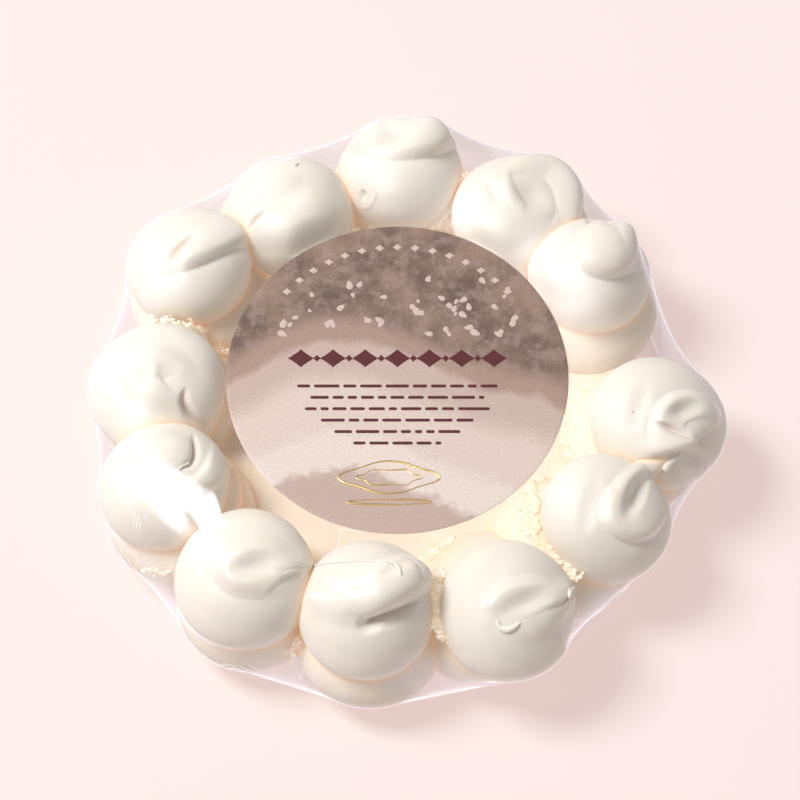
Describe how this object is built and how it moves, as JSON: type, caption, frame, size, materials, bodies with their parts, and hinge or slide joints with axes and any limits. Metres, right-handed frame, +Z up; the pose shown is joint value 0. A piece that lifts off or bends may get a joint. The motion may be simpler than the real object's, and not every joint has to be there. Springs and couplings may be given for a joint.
{
  "type": "film-wrapped meringue pavlova nest",
  "caption": "Ring of ivory piped meringue kisses round a dished floor, sealed in clear shrink film with a round paper label over the hollow.",
  "frame": {"origin": "centre of the bounding box at the flat base", "axes": "+Z up through the hollow, +X to the right and +Y to the back when the label is read from the front"},
  "size_m": [0.2392, 0.2384, 0.0648],
  "materials": {
    "meringue_under_film": "matt ivory meringue seen through tight clear glossy film",
    "label_paper": "semi-gloss printed paper in sepia and pale pink-grey"
  },
  "bodies": {
    "root": {"wrapped_meringue": "meringue_under_film", "label": "label_paper"}
  },
  "joints": []
}
